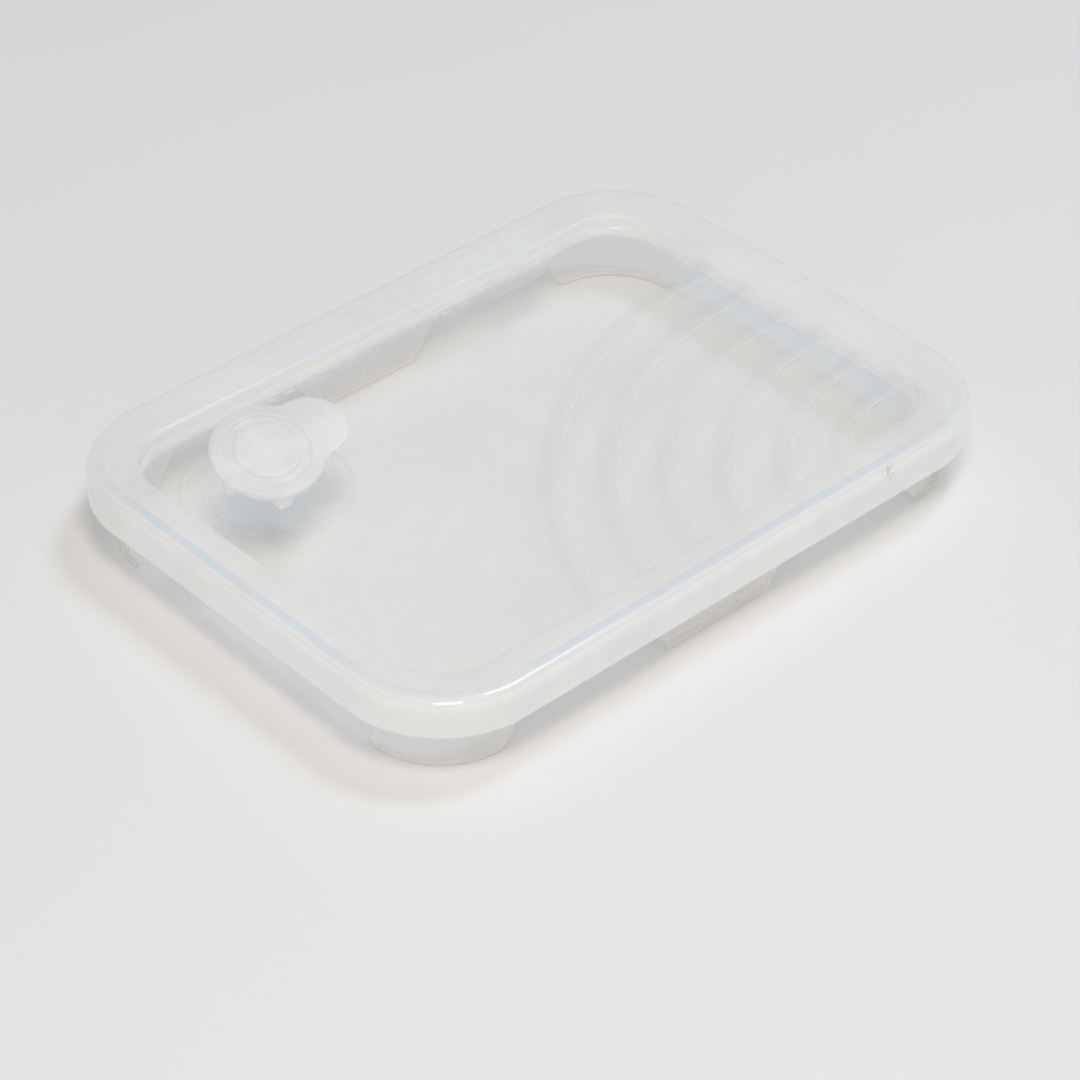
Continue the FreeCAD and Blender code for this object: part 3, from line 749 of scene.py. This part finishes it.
def make_foot(name, side, end, material):
    """A thin plate bent along the lid's outline, wider at its root, with rounded corners and edges."""
    place = foot_line(side, end)
    top = CROWN_UNDER + FOOT_ROOT
    if side == 0:
        half_bottom = FOOT_HALF_TOP - FOOT_FLARE * CROWN_UNDER
    else:
        half_bottom = (CORNER_RADIUS - FOOT_INSET - FOOT_THICKNESS / 2) * math.pi / 4
    half_top = half_bottom + FOOT_FLARE * top
    shape = rounded_run([
        (-half_bottom, 0, FOOT_CORNER),
        (half_bottom, 0, FOOT_CORNER),
        (half_top, top, 0.9),
        (-half_top, top, 0.9),
    ], closed=True, arc_steps=8)
    shape = evenly(shape, 1.2, closed=True)
    along = np.roll(shape, -1, 0) - np.roll(shape, 1, 0)
    outward = np.stack([along[:, 1], -along[:, 0]], 1)
    outward /= np.linalg.norm(outward, axis=1)[:, None]
    flat_half = FOOT_THICKNESS / 2 - FOOT_EDGE
    bends = [-90, -60, -30, 0, 0, 30, 60, 90]
    rings = []
    for index, bend in enumerate(bends):
        angle = math.radians(bend)
        pulled = shape - outward * FOOT_EDGE * (1 - math.cos(angle))
        depth = math.copysign(flat_half, index - 3.5) + FOOT_EDGE * math.sin(angle)
        rings.append(np.column_stack([pulled, np.full(len(shape), depth)]))
    flat_points = np.concatenate(rings)
    count = len(shape)
    faces = grid_faces(len(bends), count, close_columns=True)
    for ring, flip in ((0, True), (len(bends) - 1, False)):
        ids = list(range(ring * count, (ring + 1) * count))
        loop = flat_points[ids][:, :2]
        fill, triangles = filled([loop], 1.7)
        depth = flat_points[ids[0], 2]
        extra = np.column_stack([fill[count:], np.full(len(fill) - count, depth)])
        all_ids = ids + list(range(len(flat_points), len(flat_points) + len(extra)))
        flat_points = np.concatenate([flat_points, extra])
        turned = [face[::-1] if flip else face for face in triangles]
        faces += [tuple(all_ids[index] for index in face) for face in turned]
    points, edge_mark = [], []
    for distance, height, depth in flat_points:
        # the lower edge of each foot, where the painted warm glow goes
        edge_mark.append(float(np.clip(1.6 - height, 0, 1)))
        middle, normal = place(distance)
        x, y = middle + normal * depth
        points.append((x, y, height))
    marks = {"edge": edge_mark}
    return new_piece(f"soft_{name}", points, faces, "lid", material, [name], marks)


# ---------------------------------------------------------------- raised marks on the panel
def make_ridges(name, lines, width, height, material, stands_for, taper=1.5):
    """Low half-round ridges along flat lines, sunk a little into the panel."""
    section = [(math.cos(math.radians(a)), math.sin(math.radians(a))) for a in range(0, 181, 30)]
    section += [(-1.0, -1.0), (1.0, -1.0)]
    points, faces = [], []
    for line in lines:
        first = len(points)
        along = np.gradient(line, axis=0)
        along /= np.linalg.norm(along, axis=1)[:, None]
        reach = np.concatenate([[0], np.cumsum(np.linalg.norm(np.diff(line, axis=0), axis=1))])
        for (x, y), (dx, dy), distance in zip(line, along, reach):
            end_gap = min(distance, reach[-1] - distance)
            swell = math.sqrt(max(0.0, 1 - (1 - min(1.0, end_gap / taper)) ** 2)) if taper else 1.0
            swell = max(swell, 0.08)
            level = PANEL_TOP + sag(x, y)
            for across, up in section:
                offset = across * width / 2 * swell
                rise = up * height * swell if up >= 0 else -RIDGE_SINK
                points.append((x - dy * offset, y + dx * offset, level + rise))
        count = len(section)
        skin = grid_faces(len(line), count, close_columns=True)
        faces += [tuple(first + i for i in face) for face in skin]
        faces.append(tuple(first + i for i in range(count)))
        last = first + (len(line) - 1) * count
        faces.append(tuple(last + i for i in reversed(range(count))))
    return new_piece(name, points, faces, "lid", material, stands_for)


def ripple_paths():
    """The ripple lines: arcs that spread from the front right corner, cut off at the panel's edge."""
    paths = []
    for number in range(RIPPLE_COUNT):
        radius = RIPPLE_FIRST_RADIUS - number * RIPPLE_RADIUS_STEP
        centre_x = RIPPLE_CENTRE[0]
        centre_y = RIPPLE_CENTRE[1] + number * RIPPLE_CENTRE_STEP
        run = []
        for step in range(721):
            angle = math.radians(step / 4)
            x = centre_x + radius * math.cos(angle)
            y = centre_y + radius * math.sin(angle)
            if inset_of(x, y) > HOOD_INSET + 0.7:
                run.append((x, y))
        paths.append(np.array(run))
    return paths


def ring_path(radius):
    return np.array([
        (VENT_X + radius * math.cos(angle), VENT_Y + radius * math.sin(angle))
        for angle in np.linspace(0, 2 * math.pi, 145)
    ])


def make_blank_pad(material):
    """A plain raised plate with a slanted outline and a low border."""
    middle_y = (pad_low.y + pad_high.y) / 2
    half_y = (pad_high.y - pad_low.y) / 2
    slant = half_y / 2
    base = pad_high.z - PAD_LIFT
    corners = [
        (pad_low.x + 0.1, middle_y - half_y, 1.0),
        (pad_high.x - 2 * slant, middle_y - half_y, 1.0),
        (pad_high.x - 0.1, middle_y + half_y, 1.0),
        (pad_low.x + 2 * slant, middle_y + half_y, 1.0),
    ]
    shape = evenly(rounded_run(corners, closed=True), 1.0, closed=True)
    middle = shape.mean(0)
    border = [(1.0, 0.2), (0.985, 0.28), (0.95, PAD_LIFT), (0.9, 0.28), (0.88, 0.2), (0.86, 0.16)]
    levels = [(1.0, -RIDGE_SINK)] + border
    points = []
    for share, lift in levels:
        for x, y in middle + (shape - middle) * share:
            points.append((x, y, base + sag(x, y) + lift))
    count = len(shape)
    faces = grid_faces(len(levels), count, close_columns=True)
    last = (len(levels) - 1) * count
    fill, triangles = filled([np.array(points[last:])[:, :2]], 1.2)
    first = len(points)
    points += [(x, y, base + sag(x, y) + levels[-1][1]) for x, y in fill[count:]]
    ids = list(range(last, last + count)) + list(range(first, len(points)))
    faces += [tuple(ids[index] for index in face) for face in triangles]
    faces.append(tuple(reversed(range(count))))
    return new_piece("soft_blank_pad", points, faces, "lid", material, ["blank_pad"])


def dash_paths():
    """Short plain dashes, in the place that the CAD row has."""
    pitch = (beads_high.x - beads_low.x - DASH_LENGTH) / (DASH_COUNT - 1)
    middle = (beads_low.y + beads_high.y) / 2
    paths = []
    for number in range(DASH_COUNT):
        start = beads_low.x + number * pitch
        paths.append(np.array([(start + share * DASH_LENGTH, middle) for share in np.linspace(0, 1, 9)]))
    return paths


# ---------------------------------------------------------------- the vent plug
def rock_to_rest():
    """The turn that takes the plug from its seat to where it stands at rest."""
    joint = next(j for j in frame["joints"] if j["name"] == "vent_rock")
    pivot = Vector(joint["pos_m"]) / MM
    angle = math.radians(-joint["range_deg"][0])
    turn = Matrix.Rotation(angle, 4, Vector(joint["axis"]))
    return Matrix.Translation(pivot) @ turn @ Matrix.Translation(-pivot)


def plug_outline_radius(angle):
    """How far the plug's outline reaches at an angle: the flange, or the tab with its hollow necks."""
    to_flange, to_lobe = FLANGE_RADIUS + TAB_NECK, TAB_RADIUS + TAB_NECK
    neck_x = (to_flange ** 2 - to_lobe ** 2 + TAB_OFFSET ** 2) / (2 * TAB_OFFSET)
    neck_y = math.sqrt(to_flange ** 2 - neck_x ** 2)
    neck_start = math.atan2(neck_y, neck_x)
    toward_lobe = np.array([neck_x - TAB_OFFSET, neck_y]) / to_lobe * TAB_RADIUS
    neck_end = math.atan2(toward_lobe[1], toward_lobe[0] + TAB_OFFSET)
    turn = abs(angle)
    if turn >= neck_start:
        return FLANGE_RADIUS
    if turn <= neck_end:
        return TAB_OFFSET * math.cos(turn) + math.sqrt(TAB_RADIUS ** 2 - (TAB_OFFSET * math.sin(turn)) ** 2)
    along = neck_x * math.cos(turn) + neck_y * math.sin(turn)
    across = neck_x * math.sin(turn) - neck_y * math.cos(turn)
    return along - math.sqrt(max(0.0, TAB_NECK ** 2 - across ** 2))


def make_plug_cap(material, place):
    """The plug's flange, groove, button and pull tab as one closed skin, ray by ray from its axis."""
    top_end = FLANGE_RADIUS - 1.6
    top_run = evenly(rounded_run([
        (0.0, BUTTON_HEIGHT - 0.15, 0),
        (BUTTON_RADIUS - 1.6, BUTTON_HEIGHT, 3.0),
        (BUTTON_RADIUS, BUTTON_HEIGHT, 0.7),
        (BUTTON_RADIUS + 0.15, GROOVE_FLOOR, 0.5),
        (GROOVE_OUTER - 0.25, GROOVE_FLOOR, 0.5),
        (GROOVE_OUTER, FLANGE_THICKNESS, 0.4),
        (top_end, FLANGE_THICKNESS, 0),
    ]), 0.9)
    under_run = evenly(np.array([(FLANGE_RADIUS - 1.2, 0.0), (FIN_TOP - 1.0, 0.0), (0.0, 0.0)]), 1.6)
    turns = 240
    points = []
    for turn in range(turns):
        angle = 2 * math.pi * turn / turns
        folded = math.atan2(math.sin(angle), math.cos(angle))
        reach = plug_outline_radius(folded)
        beyond = reach - FLANGE_RADIUS
        on_tab = float(np.clip(beyond / 1.2, 0, 1))
        rim_top = FLANGE_THICKNESS - on_tab * (FLANGE_THICKNESS - TAB_TOP)
        tab_under = on_tab * TAB_UNDER
        edge = min(0.55, (rim_top - tab_under) / 2 - 0.02)
        column = list(top_run)
        for share in (0.16, 0.33, 0.5, 0.66, 0.83):
            radius = top_end + (reach - edge - top_end) * share
            column.append((radius, FLANGE_THICKNESS + (rim_top - FLANGE_THICKNESS) * min(1.0, share * 3)))
        for middle, bends in ((rim_top - edge, (90, 60, 30, 0)), (tab_under + edge, (0, -30, -60, -90))):
            for bend in bends:
                radius = reach - edge + edge * math.cos(math.radians(bend))
                column.append((radius, middle + edge * math.sin(math.radians(bend))))
        inner = FLANGE_RADIUS - 0.25
        for share in (0.25, 0.5, 0.75, 1.0):
            column.append((reach - edge + (inner - reach + edge) * share, tab_under))
        column.append((inner - 0.1, tab_under * 0.5))
        column += list(under_run)
        for radius, height in column:
            points.append((radius * math.cos(angle), radius * math.sin(angle), height))
    count = len(points) // turns
    faces = grid_faces(turns, count, close_rows=True)
    placed = [place @ Vector(p) for p in points]
    return new_piece("plug_cap", placed, faces, "vent_plug", material,
                     ["plug_flange", "plug_button", "plug_tab"])


def make_plug_stem(material, place):
    """The plug's stem: a hub and four tapered fins, melted together with soft corners."""
    points, faces = [], []
    for number in range(2):
        turn = math.radians(FIN_TURN + 90 * number)
        shape = rounded_run([
            (-FIN_BOTTOM, -FIN_DEPTH, FIN_CORNER),
            (FIN_BOTTOM, -FIN_DEPTH, FIN_CORNER),
            (FIN_TOP, FIN_ROOT, 0),
            (-FIN_TOP, FIN_ROOT, 0),
        ], closed=True)
        first = len(points)
        for side in (-1, 1):
            for reach, height in shape:
                across = side * FIN_THICKNESS / 2
                points.append((reach * math.cos(turn) - across * math.sin(turn),
                               reach * math.sin(turn) + across * math.cos(turn), height))
        count = len(shape)
        faces += [tuple(first + i for i in face) for face in grid_faces(2, count, close_columns=True)]
        faces.append(tuple(first + i for i in reversed(range(count))))
        faces.append(tuple(first + count + i for i in range(count)))
    first = len(points)
    turns = 40
    for height in (-FIN_DEPTH, FIN_ROOT):
        for turn in range(turns):
            angle = 2 * math.pi * turn / turns
            points.append((HUB_RADIUS * math.cos(angle), HUB_RADIUS * math.sin(angle), height))
    faces += [tuple(first + i for i in face) for face in grid_faces(2, turns, close_columns=True)]
    faces.append(tuple(first + i for i in reversed(range(turns))))
    faces.append(tuple(first + turns + i for i in range(turns)))
    placed = [place @ Vector(p) for p in points]
    piece = new_piece("stem_fins", placed, faces, "vent_plug", material, ["plug_stem"])
    melt(piece)
    return piece


def melt(piece):
    """Remesh a piece into one skin with softened corners, and keep the result as its mesh."""
    remesh = piece.modifiers.new("melt", "REMESH")
    remesh.mode = "VOXEL"
    remesh.voxel_size = MELT_VOXEL * MM
    soften = piece.modifiers.new("soften", "SMOOTH")
    soften.factor = 0.5
    soften.iterations = 6
    bpy.context.view_layer.update()
    evaluated = piece.evaluated_get(bpy.context.evaluated_depsgraph_get())
    baked = bpy.data.meshes.new_from_object(evaluated)
    piece.modifiers.clear()
    piece.data = baked
    piece.data.shade_smooth()


# ---------------------------------------------------------------- build the object
rim = silicone("rim_silicone_soft", 0.52, PASS_WARM, part="shell")
panel = silicone("panel_silicone_soft", 0.14, PASS_CLEAR)
ridge = silicone("ridge_silicone_soft", 0.17, PASS_CLEAR, part="ridge")
ring = silicone("ring_silicone_soft", 0.03, PASS_CLEAR, part="ring")
feet = silicone("foot_silicone_soft", 0.26, PASS_CLEAR, milk=FOOT_MILK, glow=FOOT_MILK, part="foot")
plug = silicone("plug_silicone_soft", 0.52, PASS_CLEAR, milk=PLUG_MILK, part="plug")
stem = silicone("stem_silicone_soft", 0.88, PASS_CLEAR, milk=CREAM, glow=CREAM, part="plug")

make_shell(rim)
for side_name, side in (("left", -1), ("right", 1)):
    for end_name, end in (("front", -1), ("back", 1)):
        make_foot(f"corner_foot_{end_name}_{side_name}", side, end, feet)
for end_name, end in (("front", -1), ("back", 1)):
    make_foot(f"side_foot_{end_name}", 0, end, feet)
make_ridges("soft_ripples", ripple_paths(), RIPPLE_WIDTH, RIPPLE_HEIGHT, ridge,
            ["ripple_lines"])
make_ridges("soft_vent_ring", [ring_path(RING_RADIUS)], RING_WIDTH, RING_HEIGHT, ring,
            ["vent_ring"], taper=0)
make_ridges("soft_dashes", dash_paths(), DASH_WIDTH, DASH_HEIGHT, panel,
            ["bead_row"], taper=0.45)
make_blank_pad(panel)

home = Matrix.Translation((VENT_X, VENT_Y, SEAT_LEDGE + PLUG_GAP))
to_rest = rock_to_rest() @ home
make_plug_cap(plug, to_rest)
make_plug_stem(stem, to_rest)


# ---------------------------------------------------------------- floor, lights and camera
FLOOR_HALF = 3.0
FLOOR_DROP = 0.0001
FLOOR_PAPER = (0.79, 0.79, 0.785)
FLOOR_PAPER_PALE = (0.81, 0.81, 0.805)

ROOM_COLOUR = (0.975, 0.99, 1.0)
ROOM_AROUND, ROOM_OVERHEAD = 0.88, 0.32
ROOM_BEHIND, ROOM_TOWARD_CAMERA = 0.66, 1.34
TOWARD_CAMERA = (-0.68, -0.73, 0.0)

# fitted to the photo: degrees, millimetres of lens, shares of the picture and metres
CAMERA_AZIMUTH, CAMERA_ELEVATION, CAMERA_ROLL = -43.16, 37.43, 0.728
CAMERA_LENS = 116.8
CAMERA_SHIFT = (0.00547, -0.0399)
CAMERA_DISTANCE = 0.807


def make_floor():
    material, tree = new_material("floor_paper")
    place = node(tree, "ShaderNodeTexCoord").outputs["Object"]
    mottle = noise_value(tree, place, 6, 3)
    body = node(tree, "ShaderNodeBsdfPrincipled")
    link(tree, blended(tree, mottle, FLOOR_PAPER, FLOOR_PAPER_PALE), body.inputs["Base Color"])
    body.inputs["Roughness"].default_value = 0.7
    body.inputs["Specular IOR Level"].default_value = 0.2
    out = node(tree, "ShaderNodeOutputMaterial")
    link(tree, body.outputs["BSDF"], out.inputs["Surface"])
    mesh = bpy.data.meshes.new("floor")
    corners = [(x * FLOOR_HALF, y * FLOOR_HALF, 0) for x, y in ((-1, -1), (1, -1), (1, 1), (-1, 1))]
    mesh.from_pydata(corners, [], [(0, 1, 2, 3)])
    mesh.materials.append(material)
    floor = bpy.data.objects.new("floor", mesh)
    bpy.context.scene.collection.objects.link(floor)
    floor.location.z = -FLOOR_DROP


def add_soft_light(name, direction, distance, size, watts, colour):
    """A square soft box that faces the lid from a direction."""
    lamp = bpy.data.lights.new(name, "AREA")
    lamp.shape = "RECTANGLE"
    lamp.size, lamp.size_y = size
    lamp.energy = watts
    lamp.color = colour
    holder = bpy.data.objects.new(name, lamp)
    bpy.context.scene.collection.objects.link(holder)
    aim = Vector(direction).normalized()
    holder.location = aim * distance
    holder.rotation_euler = aim.to_track_quat("Z", "Y").to_euler()


def make_world():
    """A pale room, brighter round its sides than overhead and brighter on the camera's side."""
    world = bpy.data.worlds.new("studio")
    bpy.context.scene.world = world
    world.use_nodes = True
    tree = world.node_tree
    background = tree.nodes["Background"]
    background.inputs["Color"].default_value = (*ROOM_COLOUR, 1)
    direction = node(tree, "ShaderNodeTexCoord").outputs["Generated"]
    split = node(tree, "ShaderNodeSeparateXYZ")
    link(tree, direction, split.inputs["Vector"])
    height = remap(tree, split.outputs["Z"], 0.15, 0.8, ROOM_AROUND, ROOM_OVERHEAD)
    forward = node(tree, "ShaderNodeVectorMath", operation="DOT_PRODUCT")
    link(tree, direction, forward.inputs[0])
    forward.inputs[1].default_value = TOWARD_CAMERA
    front = remap(tree, forward.outputs["Value"], -0.8, 0.8, ROOM_BEHIND, ROOM_TOWARD_CAMERA)
    link(tree, maths(tree, "MULTIPLY", height, front), background.inputs["Strength"])


def make_camera():
    azimuth, elevation = math.radians(CAMERA_AZIMUTH), math.radians(CAMERA_ELEVATION)
    back = Vector((
        math.sin(azimuth) * math.cos(elevation),
        -math.cos(azimuth) * math.cos(elevation),
        math.sin(elevation),
    ))
    data = bpy.data.cameras.new("camera")
    data.lens = CAMERA_LENS
    data.sensor_width = 36
    data.shift_x, data.shift_y = CAMERA_SHIFT
    data.clip_start = 0.01
    camera = bpy.data.objects.new("camera", data)
    bpy.context.scene.collection.objects.link(camera)
    roll = Matrix.Rotation(math.radians(CAMERA_ROLL), 4, "Z")
    turn = back.to_track_quat("Z", "Y").to_matrix().to_4x4() @ roll
    camera.matrix_world = Matrix.Translation(back * CAMERA_DISTANCE) @ turn
    bpy.context.scene.camera = camera


make_floor()
make_world()
add_soft_light("warm_key", (-0.32, -0.42, 1.0), 1.0, (0.25, 0.25), 3.7, (1.0, 0.88, 0.75))
add_soft_light("cool_key", (0.40, -0.08, 1.0), 1.5, (0.40, 0.40), 5.2, (0.82, 0.97, 1.15))
make_camera()
bpy.context.scene.view_settings.view_transform = "Standard"
